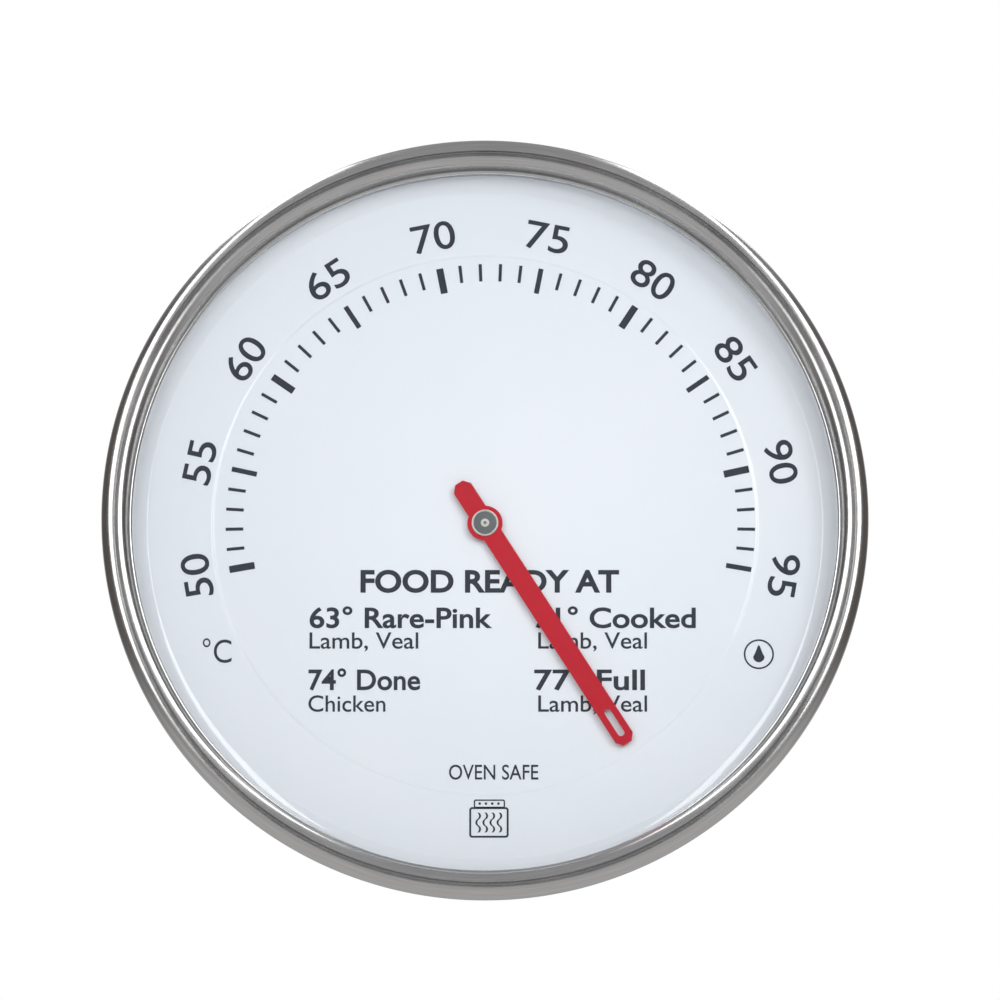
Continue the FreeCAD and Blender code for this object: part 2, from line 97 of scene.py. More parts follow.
def soft_lamp(name, direction, distance, width, height, radiance):
    """Hang a rectangular lamp that faces the head. It lights paint, and steel doesn't show it."""
    light = bpy.data.lights.new(name, "AREA")
    light.shape = "RECTANGLE"
    light.size = width
    light.size_y = height
    light.energy = radiance * math.pi * width * height
    lamp = bpy.data.objects.new(name, light)
    outward = Vector(direction).normalized()
    lamp.location = head_centre + outward * distance
    lamp.rotation_euler = outward.to_track_quat("Z", "Y").to_euler()
    lamp.visible_camera = False
    lamp.visible_glossy = False
    bpy.context.scene.collection.objects.link(lamp)


def card(name, side, inner_edge, outer_edge, radiance):
    """Hang a bright card between two edges, each given by directions from the head, foot first."""
    shape = bmesh.new()
    for edge in (inner_edge, outer_edge):
        last = None
        for across, along, up in edge:
            outward = Vector((side * across, along, up)).normalized()
            point = shape.verts.new(head_centre + outward * CARD_DISTANCE)
            if last:
                shape.edges.new((last, point))
            last = point
    bmesh.ops.bridge_loops(shape, edges=shape.edges)
    mesh = bpy.data.meshes.new(name)
    shape.to_mesh(mesh)
    shape.free()
    glow = bpy.data.materials.new(name)
    glow.use_nodes = True
    shader = glow.node_tree.nodes["Principled BSDF"]
    shader.inputs["Base Color"].default_value = (0, 0, 0, 1)
    shader.inputs["Emission Color"].default_value = (1, 1, 1, 1)
    shader.inputs["Emission Strength"].default_value = radiance
    mesh.materials.append(glow)
    hung = bpy.data.objects.new(name, mesh)
    hung.visible_camera = False
    hung.visible_diffuse = False
    hung.visible_shadow = False
    hung.visible_transmission = False
    bpy.context.scene.collection.objects.link(hung)
    hung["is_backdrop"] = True


CARD_INNER = (
    (0.33, -0.94, -0.07), (0.32, -0.95, 0.05), (0.22, -0.95, 0.16), (0.39, -0.85, 0.31),
    (0.51, -0.54, 0.66), (0.36, -0.06, 0.93), (0.26, 0.41, 0.87), (0.2, 0.8, 0.56),
)
CARD_OUTER = (
    (0.61, -0.79, -0.1), (0.64, -0.76, 0.08), (0.7, -0.68, 0.16), (0.73, -0.47, 0.45),
    (0.59, -0.26, 0.75), (0.52, 0.05, 0.85), (0.45, 0.41, 0.79), (0.4, 0.75, 0.52),
)
card("card_right", 1, CARD_INNER, CARD_OUTER, 3.2)
card("card_left", -1, CARD_INNER, CARD_OUTER, 3.0)
soft_lamp("lamp_right", (0.38, -0.90, 0.22), 1.1, 0.45, 0.45, 7.4)
soft_lamp("lamp_left", (-0.24, -0.96, 0.12), 1.1, 0.45, 0.45, 6.9)
soft_lamp("lamp_back", (0.3, 0.85, 0.45), 1.2, 0.8, 0.8, 2.0)

snoot = bpy.data.objects.new("snoot", bpy.data.lights.new("snoot", "SPOT"))
snoot.data.energy = 12.4
snoot.data.spot_size = math.radians(5.2)
snoot.data.spot_blend = 1.0
snoot.data.shadow_soft_size = 0.03
snoot_way = Vector((0.10, -0.98, 0.12)).normalized()
snoot.location = head_centre + snoot_way * 1.1 + Vector((0.006, 0.0, 0.003))
snoot.rotation_euler = snoot_way.to_track_quat("Z", "Y").to_euler()
snoot.visible_camera = False
snoot.visible_glossy = False
bpy.context.scene.collection.objects.link(snoot)


def plug_in(tree, socket, value):
    """Feed an input from a socket, or set it to a plain value."""
    if hasattr(value, "is_output"):
        tree.links.new(value, socket)
    else:
        socket.default_value = value


def math_node(tree, operation, first, second=None):
    """Add a Math node and return its output."""
    node = tree.nodes.new("ShaderNodeMath")
    node.operation = operation
    plug_in(tree, node.inputs[0], first)
    if second is not None:
        plug_in(tree, node.inputs[1], second)
    return node.outputs["Value"]


def spread(tree, value, low, high, low_from=0.3, high_from=0.7):
    """Map a value to the range that a surface uses, and return the output."""
    node = tree.nodes.new("ShaderNodeMapRange")
    node.inputs["From Min"].default_value = low_from
    node.inputs["From Max"].default_value = high_from
    node.inputs["To Min"].default_value = low
    node.inputs["To Max"].default_value = high
    tree.links.new(value, node.inputs["Value"])
    return node.outputs["Result"]


def blend_colours(tree, value, dark, light):
    """Mix two colours by a value and return the colour output."""
    node = tree.nodes.new("ShaderNodeMix")
    node.data_type = "RGBA"
    plug_in(tree, node.inputs[0], value)
    plug_in(tree, node.inputs[6], dark)
    plug_in(tree, node.inputs[7], light)
    return node.outputs[2]


ROOM_BELOW = (0.53, 0.525, 0.52, 1.0)
ROOM_ABOVE = (0.34, 0.34, 0.35, 1.0)
ROOM_SIDE = (0.115, 0.105, 0.10, 1.0)
ROOM_BACK = (0.42, 0.42, 0.43, 1.0)
ROOM_BEHIND_CAMERA = (0.13, 0.13, 0.14, 1.0)

world = bpy.data.worlds.new("surround")
world.use_nodes = True
bpy.context.scene.world = world
tree = world.node_tree
tree.nodes.clear()
split = tree.nodes.new("ShaderNodeSeparateXYZ")
tree.links.new(tree.nodes.new("ShaderNodeTexCoord").outputs["Generated"], split.inputs["Vector"])
x, y, z = split.outputs
room = blend_colours(tree, spread(tree, z, 0.0, 1.0, -0.6, 0.25), ROOM_BELOW, ROOM_ABOVE)
sideways = spread(tree, math_node(tree, "ABSOLUTE", x), 0.0, 1.0, 0.45, 0.8)
not_below = spread(tree, z, 0.0, 1.0, -0.5, -0.15)
room = blend_colours(tree, math_node(tree, "MULTIPLY", sideways, not_below), room, ROOM_SIDE)
room = blend_colours(tree, spread(tree, y, 0.0, 1.0, 0.85, 0.97), room, ROOM_BACK)
room = blend_colours(tree, spread(tree, y, 0.0, 1.0, -0.965, -0.99), room, ROOM_BEHIND_CAMERA)
room_light = tree.nodes.new("ShaderNodeBackground")
tree.links.new(room, room_light.inputs["Color"])
paper = tree.nodes.new("ShaderNodeBackground")
paper.inputs["Color"].default_value = (1.0, 1.0, 1.0, 1.0)
which_ray = tree.nodes.new("ShaderNodeLightPath")
mix = tree.nodes.new("ShaderNodeMixShader")
tree.links.new(which_ray.outputs["Is Camera Ray"], mix.inputs["Fac"])
tree.links.new(room_light.outputs["Background"], mix.inputs[1])
tree.links.new(paper.outputs["Background"], mix.inputs[2])
tree.links.new(mix.outputs["Shader"], tree.nodes.new("ShaderNodeOutputWorld").inputs["Surface"])

floor_mesh = bpy.data.meshes.new("floor")
shape = bmesh.new()
bmesh.ops.create_grid(shape, x_segments=1, y_segments=1, size=FLOOR_HALF)
bmesh.ops.translate(shape, verts=shape.verts, vec=(0, 0, FLOOR_Z))
shape.to_mesh(floor_mesh)
shape.free()
floor = bpy.data.objects.new("floor", floor_mesh)
floor.visible_glossy = False
bpy.context.scene.collection.objects.link(floor)
floor_paint = bpy.data.materials.new("floor_paper")
floor_paint.use_nodes = True
shader = floor_paint.node_tree.nodes["Principled BSDF"]
shader.inputs["Base Color"].default_value = (0.82, 0.82, 0.82, 1)
shader.inputs["Roughness"].default_value = 0.9
floor_mesh.materials.append(floor_paint)
floor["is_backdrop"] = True

# ---------------------------------------------------------------------------------------------
# Bezel. A ring of stainless strip, rolled to two quarter rounds with a groove between them, then
# polished and crimped over the case. Rolling leaves fine lines round it and a slight wave.
# ---------------------------------------------------------------------------------------------
STEEL = (0.66, 0.655, 0.65, 1.0)
SHARP = math.radians(35)
SEAM = 1.0e-4


def new_group(name, inputs, outputs):
    """Start a shader group with named inputs and outputs; return it and its two end nodes."""
    group = bpy.data.node_groups.new(name, "ShaderNodeTree")
    for label, kind, value in inputs:
        socket = group.interface.new_socket(label, in_out="INPUT", socket_type="NodeSocket" + kind)
        if value is not None:
            socket.default_value = value
    for label, kind in outputs:
        group.interface.new_socket(label, in_out="OUTPUT", socket_type="NodeSocket" + kind)
    return group, group.nodes.new("NodeGroupInput"), group.nodes.new("NodeGroupOutput")


def noise_node(tree, vector, scale, detail=2.0, roughness=0.5, distortion=0.0):
    """Add a Noise Texture and return its value output."""
    node = tree.nodes.new("ShaderNodeTexNoise")
    node.inputs["Scale"].default_value = scale
    node.inputs["Detail"].default_value = detail
    node.inputs["Roughness"].default_value = roughness
    node.inputs["Distortion"].default_value = distortion
    tree.links.new(vector, node.inputs["Vector"])
    return node.outputs["Fac"]


def axis_distance(tree, vector):
    """Add nodes that measure the distance from the stem's axis, and return the output."""
    parts = tree.nodes.new("ShaderNodeSeparateXYZ")
    tree.links.new(vector, parts.inputs["Vector"])
    across, _, up = parts.outputs
    across_squared = math_node(tree, "MULTIPLY", across, across)
    up_squared = math_node(tree, "MULTIPLY", up, up)
    return math_node(tree, "SQRT", math_node(tree, "ADD", across_squared, up_squared))


# Lines left by rolling or turning about the stem's axis: they run round it and hardly fade along
# their length. Lines is how many there are in a metre, and Arc how soon they change round it.
turned_lines, group_in, group_out = new_group(
    "turned_lines",
    (("Vector", "Vector", None), ("Lines", "Float", 9000.0), ("Arc", "Float", 6.0)),
    (("Height", "Float"), ("Patches", "Float")),
)
split = turned_lines.nodes.new("ShaderNodeSeparateXYZ")
turned_lines.links.new(group_in.outputs["Vector"], split.inputs["Vector"])
x, y, z = split.outputs
lines = group_in.outputs["Lines"]
radius = axis_distance(turned_lines, group_in.outputs["Vector"])
turn = math_node(turned_lines, "ARCTAN2", z, x)
rolled = turned_lines.nodes.new("ShaderNodeCombineXYZ")
plug_in(turned_lines, rolled.inputs["X"], math_node(turned_lines, "MULTIPLY", radius, lines))
plug_in(turned_lines, rolled.inputs["Y"], math_node(turned_lines, "MULTIPLY", y, lines))
plug_in(turned_lines, rolled.inputs["Z"], math_node(turned_lines, "MULTIPLY", turn, group_in.outputs["Arc"]))
scratches = noise_node(turned_lines, rolled.outputs["Vector"], 1.0, 3.0, 0.6)
patches = noise_node(turned_lines, group_in.outputs["Vector"], 140.0, 3.0)
plug_in(turned_lines, group_out.inputs["Height"], scratches)
plug_in(turned_lines, group_out.inputs["Patches"], patches)


def bump(tree, height, distance, under=None):
    """Add a Bump node over another normal, and return its normal."""
    node = tree.nodes.new("ShaderNodeBump")
    node.inputs["Distance"].default_value = distance
    tree.links.new(height, node.inputs["Height"])
    if under is not None:
        tree.links.new(under, node.inputs["Normal"])
    return node.outputs["Normal"]


def new_material(name, **constants):
    """Start a material; return it, its tree, its Principled shader and its Object coordinates."""
    material = bpy.data.materials.new(name)
    material.use_nodes = True
    tree = material.node_tree
    shader = tree.nodes["Principled BSDF"]
    for label, value in constants.items():
        shader.inputs[label.replace("_", " ")].default_value = value
    coordinate = tree.nodes.new("ShaderNodeTexCoord").outputs["Object"]
    return material, tree, shader, coordinate


def steel(name, base, lines, line_height, grain_height, rough, wave=0.0):
    """Metal with turning lines, a fine grain, a cloudy polish and, if asked, a slow wave."""
    material, tree, shader, coordinate = new_material(name, Metallic=1.0)
    lathe = tree.nodes.new("ShaderNodeGroup")
    lathe.node_tree = turned_lines
    tree.links.new(coordinate, lathe.inputs["Vector"])
    lathe.inputs["Lines"].default_value = lines
    grain = noise_node(tree, coordinate, 7000.0, 2.0, 0.6)
    dark = [channel * 0.86 for channel in base[:3]] + [1.0]
    light = [min(1.0, channel * 1.06) for channel in base[:3]] + [1.0]
    shade = spread(tree, lathe.outputs["Height"], 0.0, 1.0)
    tree.links.new(blend_colours(tree, shade, dark, light), shader.inputs["Base Color"])
    cloudy = spread(tree, lathe.outputs["Patches"], -0.03, 0.04)
    fine = spread(tree, grain, rough - 0.03, rough + 0.04)
    tree.links.new(math_node(tree, "ADD", cloudy, fine), shader.inputs["Roughness"])
    normal = bump(tree, lathe.outputs["Height"], line_height)
    normal = bump(tree, grain, grain_height, normal)
    if wave:
        normal = bump(tree, noise_node(tree, coordinate, 90.0, 1.0), wave, normal)
    tree.links.new(normal, shader.inputs["Normal"])
    return material


def place_piece(name, shape, material, body, slot, *nodes):
    """Make a finished mesh a piece of the object, in place of the nodes named."""
    mesh = bpy.data.meshes.new(name)
    shape.to_mesh(mesh)
    shape.free()
    mesh.shade_smooth()
    mesh.set_sharp_from_angle(angle=SHARP)
    mesh.materials.append(material)
    piece = bpy.data.objects.new(name, mesh)
    bpy.context.scene.collection.objects.link(piece)
    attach(piece, body)
    if nodes:
        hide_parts(*nodes)
    return piece


def lathe_shape(turns, start, *steps):
    """Trace a closed profile and spin it round the stem's axis.

    The profile is in millimetres: radius, and depth behind the crown of the bezel. A step of two
    numbers is a straight edge to that point. A step of four is an arc: the radius and depth of its
    centre, the degrees it turns, positive from outward to backward, and how many edges it has.
    """
    shape = bmesh.new()
    point = bmesh.ops.create_vert(shape, co=(start[0], start[1], 0))["vert"][0]
    for step in steps + (start,):
        if len(step) == 4:
            swept = bmesh.ops.spin(
                shape, geom=[point], cent=(step[0], step[1], 0), axis=(0, 0, 1), dvec=(0, 0, 0),
                angle=math.radians(step[2]), steps=step[3], use_merge=False,
            )
            point = swept["geom_last"][0]
        else:
            point = bmesh.ops.extrude_vert_indiv(shape, verts=[point])["verts"][0]
            point.co = (step[0], step[1], 0)
    bmesh.ops.remove_doubles(shape, verts=shape.verts, dist=SEAM)
    bmesh.ops.spin(
        shape, geom=shape.verts[:] + shape.edges[:], cent=(0, 0, 0), axis=(0, 1, 0), dvec=(0, 0, 0),
        angle=math.tau, steps=turns, use_merge=True,
    )
    bmesh.ops.remove_doubles(shape, verts=shape.verts, dist=SEAM)
    bmesh.ops.dissolve_degenerate(shape, edges=shape.edges, dist=SEAM)
    bmesh.ops.scale(shape, verts=shape.verts, vec=(MM, MM, MM))
    bmesh.ops.translate(shape, verts=shape.verts, vec=(0, crown_y, 0))
    bmesh.ops.recalc_face_normals(shape, faces=shape.faces)
    return shape


bezel_steel = steel("bezel_polish", STEEL, 11000.0, 1.5e-6, 1.6e-6, 0.2, 5.0e-5)
bezel_shape = lathe_shape(
    360,
    (34.95, 2.9),
    (35.27, 2.9, 90, 8),
    (35.46, 2.58),
    (35.5, 0.6),
    (36.5, 1.35, 53.13, 14),
    (36.6, 0.32),
    (36.7, 0.32),
    (36.8, 0.0),
    (36.8, 1.2, 90, 20),
    (38.0, 2.6),
    (37.6, 5.6),
    (36.8, 5.6, 90, 10),
    (36.45, 6.4),
    (36.45, 5.9),
    (36.92, 5.9),
    (37.1, 5.4),
    (37.5, 2.6),
    (37.5, 1.2),
    (36.8, 1.2, -90, 8),
    (36.5, 0.72),
    (36.0, 1.35),
    (36.0, 2.4),
    (35.7, 2.9),
)
place_piece("bezel_ring_polished", bezel_shape, bezel_steel, "housing", "bezel_steel", "bezel_ring")

# ---------------------------------------------------------------------------------------------
# Case, ferrule, stem and point. The case is drawn from sheet and spun satin; the ferrule is
# turned; the tube is drawn and ground; the point is turned and brazed in.
# ---------------------------------------------------------------------------------------------
case_steel = steel("case_satin", (0.60, 0.595, 0.585, 1.0), 6000.0, 4.0e-6, 2.0e-6, 0.30, 3.0e-5)
stem_steel = steel("stem_ground", (0.62, 0.615, 0.61, 1.0), 8000.0, 1.2e-6, 5.0e-7, 0.24)
case_shape = lathe_shape(
    240,
    (36.9, 5.4),
    (36.4, 5.4),
    (36.4, 6.1, -90, 6),
    (35.7, 10.0),
    (32.7, 10.0, 90, 12),
    (25.0, 13.0),
    (24.0, 12.4),
    (3.05, 12.4),
    (3.05, 12.9),
    (24.25, 12.9),
    (24.25, 13.4667, 61.93, 8),
    (25.25, 12.9333, -61.93, 8),
    (32.7, 13.5),
    (32.7, 10.0, -90, 16),
    (36.2, 6.1),
    (36.4, 6.1, 90, 5),
    (36.9, 5.9),
)
place_piece("rear_case_spun", case_shape, case_steel, "housing", "case_steel", "rear_case")
ferrule_shape = lathe_shape(
    128,
    (1.3, 9.9),
    (2.7, 9.9),
    (3.0, 10.2),
    (3.0, 13.4),
    (5.8, 13.4),
    (5.8, 13.6, 90, 5),
    (6.0, 14.7),
    (5.7, 14.7, 90, 6),
    (4.8, 15.0),
    (4.8, 15.3, -90, 6),
    (4.5, 18.7),
    (2.7, 18.7, 90, 14),
    (1.7, 20.5),
    (1.7, 26.5),
    (1.3, 26.5),
)
place_piece("stem_ferrule_turned", ferrule_shape, stem_steel, "housing", "stem_steel", "stem_ferrule")
tube_shape = lathe_shape(96, (1.7, 20.5), (2.0, 20.5), (2.0, 128.5), (1.7, 128.5))
place_piece("stem_tube_drawn", tube_shape, stem_steel, "housing", "stem_steel", "stem_tube")
point_shape = lathe_shape(
    96, (0.0, 125.0), (1.5, 125.0), (1.7, 125.2), (1.7, 128.5), (2.0, 128.5), (0.2909, 135.2734),
    (0.0, 135.2, 75.84, 8),
)
place_piece("stem_point_turned", point_shape, stem_steel, "housing", "stem_steel", "stem_tip")

# ---------------------------------------------------------------------------------------------
# Movement inside the stem and case: brass bushes and collars, a steel nut and a bimetal helix.
# ---------------------------------------------------------------------------------------------
brass = steel("turned_brass", (0.70, 0.50, 0.23, 1.0), 12000.0, 2.0e-6, 1.0e-6, 0.28)
bimetal = steel("bimetal_strip", (0.52, 0.47, 0.42, 1.0), 9000.0, 1.0e-6, 1.0e-6, 0.35)
nut_steel = steel("nut_steel", (0.55, 0.55, 0.55, 1.0), 9000.0, 2.0e-6, 2.0e-6, 0.30)


def finish_nodes(material, *nodes):
    """Give CAD nodes their material."""
    for node in nodes:
        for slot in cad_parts[node].material_slots:
            slot.material = material


finish_nodes(brass, "upper_guide_bush", "middle_guide_bush", "lower_guide_bush")
finish_nodes(brass, "coil_anchor", "coil_collar", "thrust_collar")
finish_nodes(bimetal, "bimetal_coil")
finish_nodes(nut_steel, "ferrule_nut")

# ---------------------------------------------------------------------------------------------
# Gasket and washer: moulded grey silicone, matt, with a fine bloom.
# ---------------------------------------------------------------------------------------------
silicone, tree, shader, coordinate = new_material("grey_silicone", Roughness=0.62)
bloom = noise_node(tree, coordinate, 900.0, 4.0, 0.6)
grey = blend_colours(tree, bloom, (0.24, 0.24, 0.235, 1.0), (0.38, 0.38, 0.37, 1.0))
tree.links.new(grey, shader.inputs["Base Color"])
tree.links.new(bump(tree, bloom, 8.0e-6), shader.inputs["Normal"])
finish_nodes(silicone, "lens_gasket", "seal_washer")

# ---------------------------------------------------------------------------------------------
# Lens: a flat disc of clear glass, with a few faint wiping marks in its polish.
# ---------------------------------------------------------------------------------------------
glass, tree, shader, coordinate = new_material(
    "clear_lens", Base_Color=(0.97, 0.99, 0.985, 1.0), IOR=1.5, Transmission_Weight=1.0
)
smear = noise_node(tree, coordinate, 60.0, 3.0, 0.55, 0.4)
tree.links.new(spread(tree, smear, 0.0, 0.02), shader.inputs["Roughness"])
open_way = tree.nodes.new("ShaderNodeBsdfTransparent")
open_way.inputs["Color"].default_value = (0.95, 0.97, 0.97, 1.0)
which_ray = tree.nodes.new("ShaderNodeLightPath").outputs
seen = math_node(tree, "MAXIMUM", which_ray["Is Camera Ray"], which_ray["Is Transmission Ray"])
mix = tree.nodes.new("ShaderNodeMixShader")
tree.links.new(seen, mix.inputs["Fac"])
tree.links.new(open_way.outputs["BSDF"], mix.inputs[1])
tree.links.new(shader.outputs["BSDF"], mix.inputs[2])
tree.links.new(mix.outputs["Shader"], tree.nodes["Material Output"].inputs["Surface"])
finish_nodes(glass, "glass_lens")

# ---------------------------------------------------------------------------------------------
# Dial: aluminium, pressed to a plateau, a ring round it and a rim that curves forward, in glossy
# white stoving enamel, slightly cool, with a faint orange peel.
# ---------------------------------------------------------------------------------------------
PLATEAU_DEPTH = 6.1
RING_DEPTH = 6.2
STEP_BEND = 0.425

enamel, tree, shader, coordinate = new_material(
    "white_enamel", Roughness=0.5, Coat_Weight=1.0, Coat_Roughness=0.05, Coat_IOR=1.85,
    Specular_IOR_Level=0.2
)
peel = noise_node(tree, coordinate, 1300.0, 2.0, 0.5)
cloud = spread(tree, noise_node(tree, coordinate, 45.0, 3.0, 0.5), 0.0, 1.0)
white = blend_colours(tree, cloud, (0.825, 0.825, 0.885, 1.0), (0.845, 0.842, 0.895, 1.0))
tree.links.new(white, shader.inputs["Base Color"])
tree.links.new(bump(tree, peel, 1.0e-6), shader.inputs["Normal"])
dial_shape = lathe_shape(
    360,
    (1.5, PLATEAU_DEPTH),
    (26.9, PLATEAU_DEPTH),
    (26.9, PLATEAU_DEPTH + STEP_BEND, 28.07, 6),
    (27.3, RING_DEPTH - STEP_BEND, -28.07, 6),
    (33.5, RING_DEPTH),
    (33.5, RING_DEPTH - 0.3, -28, 8),
    (33.73, 6.118),
    (31.766, 2.4274, -24, 12),
    (36.9, 5.0),
    (36.9, 5.4),
    (35.22, 5.4),
    (33.92, 6.47),
    (33.4, 6.6),
    (27.3, 6.6),
    (26.9, 6.5),
    (1.5, 6.5),
)
place_piece("dial_plate_enamelled", dial_shape, enamel, "housing", "dial_enamel", "dial_plate")

# ---------------------------------------------------------------------------------------------
# Print: one pass of dark grey ink on the enamel, a few hundredths of a millimetre thick. It sits
# half a millimetre to the right of the spindle, as a printed blank often does.
# ---------------------------------------------------------------------------------------------
INK_THICKNESS = 0.02
PRINT_SHIFT = 0.53
SCALE_MIDDLE_C = 72.5
DEGREES_PER_C = 4.44
SCALE_START_C = 50
SCALE_END_C = 95
TICK_OUTER = 26.32
NUMERAL_RADIUS = 29.6
NUMERAL_HEIGHT = 2.75
NUMERAL_WIDTH = 4.35

ink, tree, shader, coordinate = new_material("dial_ink", Roughness=0.35, Specular_IOR_Level=0.2)
speckle = noise_node(tree, coordinate, 5000.0, 2.0, 0.6)
dark_grey = blend_colours(tree, speckle, (0.022, 0.024, 0.034, 1.0), (0.036, 0.040, 0.055, 1.0))
tree.links.new(dark_grey, shader.inputs["Base Color"])
tree.links.new(bump(tree, speckle, 1.5e-6), shader.inputs["Normal"])


def scale_angle(temperature):
    """Return the angle of a temperature on the scale, in radians, anticlockwise from 3 o'clock."""
    return math.radians(90 + (SCALE_MIDDLE_C - temperature) * DEGREES_PER_C)


def print_on_dial(name, shape, depth):
    """Lay a flat print, drawn in X and Y with its thickness about Z of 0, on the dial."""
    surface_y = crown_y + depth * MM
    upright = Matrix.Translation((PRINT_SHIFT * MM, surface_y - 0.45 * INK_THICKNESS * MM, 0))
    upright = upright @ Matrix.Rotation(math.pi / 2, 4, "X") @ Matrix.Scale(MM, 4)
    bmesh.ops.transform(shape, matrix=upright, verts=shape.verts)
    bmesh.ops.recalc_face_normals(shape, faces=shape.faces)
    place_piece(name, shape, ink, "housing", "dial_enamel")


def set_words(shape, words, placing, heavy=0.0):
    """Add words in a plain face; placing gets the box of the words and returns their matrix."""
    curve = bpy.data.curves.new("words", "FONT")
    curve.body = words
    curve.extrude = 0.5
    curve.offset = heavy
    curve.resolution_u = 5
    holder = bpy.data.objects.new("words", curve)
    mesh = bpy.data.meshes.new_from_object(holder)
    bpy.data.objects.remove(holder)
    bpy.data.curves.remove(curve)
    across = [point.co.x for point in mesh.vertices]
    mesh.transform(placing(min(across), max(across)))
    shape.from_mesh(mesh)
    bpy.data.meshes.remove(mesh)


ticks = bmesh.new()
for temperature in range(SCALE_START_C, SCALE_END_C + 1):
    inner, width = 24.56, 0.32
    if temperature % 5 == 0:
        inner, width = 23.77, 0.50
    if temperature % 10 == 0:
        width = 0.71
    along = Matrix.Translation(((inner + TICK_OUTER) / 2, 0, 0))
    size = Matrix.Diagonal((TICK_OUTER - inner, width, INK_THICKNESS, 1))
    turned = Matrix.Rotation(scale_angle(temperature), 4, "Z") @ along @ size
    bmesh.ops.create_cube(ticks, size=1, matrix=turned)
print_on_dial("scale_ticks", ticks, PLATEAU_DEPTH)

CAP_HEIGHT = 0.682
numerals = bmesh.new()
for temperature in range(SCALE_START_C, SCALE_END_C + 1, 5):

    def upright_numeral(left, right):
        """Centre a numeral on the spot for its temperature, with its top outwards."""
        size = Matrix.Diagonal((NUMERAL_WIDTH / (right - left), NUMERAL_HEIGHT / CAP_HEIGHT, INK_THICKNESS, 1))
        centred = Matrix.Translation((-(left + right) / 2, -CAP_HEIGHT / 2, 0))
        turn = Matrix.Rotation(scale_angle(temperature) - math.pi / 2, 4, "Z")
        return turn @ Matrix.Translation((0, NUMERAL_RADIUS, 0)) @ size @ centred

    set_words(numerals, str(temperature), upright_numeral, 0.006)
print_on_dial("scale_numerals", numerals, RING_DEPTH)

# The cooking guide and the two lines of capitals stand on the plateau: words, left and right ends,
# baseline, height of capitals, and how heavy the strokes are.
HEAVIEST = 0.030
HEAVY = 0.020
MEDIUM = 0.007
WORDS = (
    ("FOOD READY AT", -12.9, 12.8, -6.75, 2.1, HEAVIEST),
    ("63° Rare-Pink", -17.95, 0.19, -10.34, 1.95, HEAVY),
    ("Lamb, Veal", -17.95, -7.15, -12.44, 1.6, MEDIUM),
    ("71° Cooked", 4.35, 20.4, -10.34, 1.95, HEAVY),
    ("Lamb, Veal", 4.75, 15.55, -12.44, 1.6, MEDIUM),
    ("74° Done", -18.05, -6.95, -16.56, 1.95, HEAVY),
    ("Chicken", -18.05, -10.4, -18.76, 1.6, MEDIUM),
    ("77° Full", 4.35, 15.35, -16.56, 1.95, HEAVY),
    ("Lamb, Veal", 4.75, 15.55, -18.76, 1.6, MEDIUM),
    ("OVEN SAFE", -4.1, 4.76, -25.55, 1.45, MEDIUM),
)
guide = bmesh.new()
for words, left_end, right_end, baseline, capital, weight in WORDS:

    def fitted_line(left, right):
        """Fit a line of words between its ends, standing on its baseline."""
        across = (right_end - left_end) / (right - left)
        size = Matrix.Diagonal((across, capital / CAP_HEIGHT, INK_THICKNESS, 1))
        return Matrix.Translation((left_end - left * across, baseline, 0)) @ size

    set_words(guide, words, fitted_line, weight)
print_on_dial("cooking_guide", guide, PLATEAU_DEPTH)


def thicken(shape):
    """Give flat print its thickness, centred on Z of 0."""
    ink_film = bmesh.ops.extrude_face_region(shape, geom=shape.faces[:], use_keep_orig=True)
    raised = [item for item in ink_film["geom"] if isinstance(item, bmesh.types.BMVert)]
    bmesh.ops.translate(shape, verts=raised, vec=(0, 0, INK_THICKNESS))
    bmesh.ops.translate(shape, verts=shape.verts, vec=(0, 0, -INK_THICKNESS / 2))


def line_drawn(shape, faces, stroke):
    """Turn flat faces into lines that run round inside their edges."""
    bmesh.ops.inset_region(
        shape, faces=faces, thickness=stroke, use_even_offset=True, use_boundary=True
    )
    bmesh.ops.delete(shape, geom=faces, context="FACES")


def round_box(shape, left, right, bottom, top, corner, stroke):
    """Draw the outline of a box with rounded corners."""
    middle = Matrix.Translation(((left + right) / 2, (bottom + top) / 2, 0))
    size = middle @ Matrix.Diagonal(((right - left) / 2, (top - bottom) / 2, 1, 1))
    box = bmesh.ops.create_grid(shape, x_segments=1, y_segments=1, size=1, matrix=size)["verts"]
    rounded = bmesh.ops.bevel(
        shape, geom=box, offset=corner, segments=5, profile=0.5, affect="VERTICES", material=-1
    )
    faces = list({face for point in rounded["verts"] for face in point.link_faces})
    line_drawn(shape, faces, stroke)


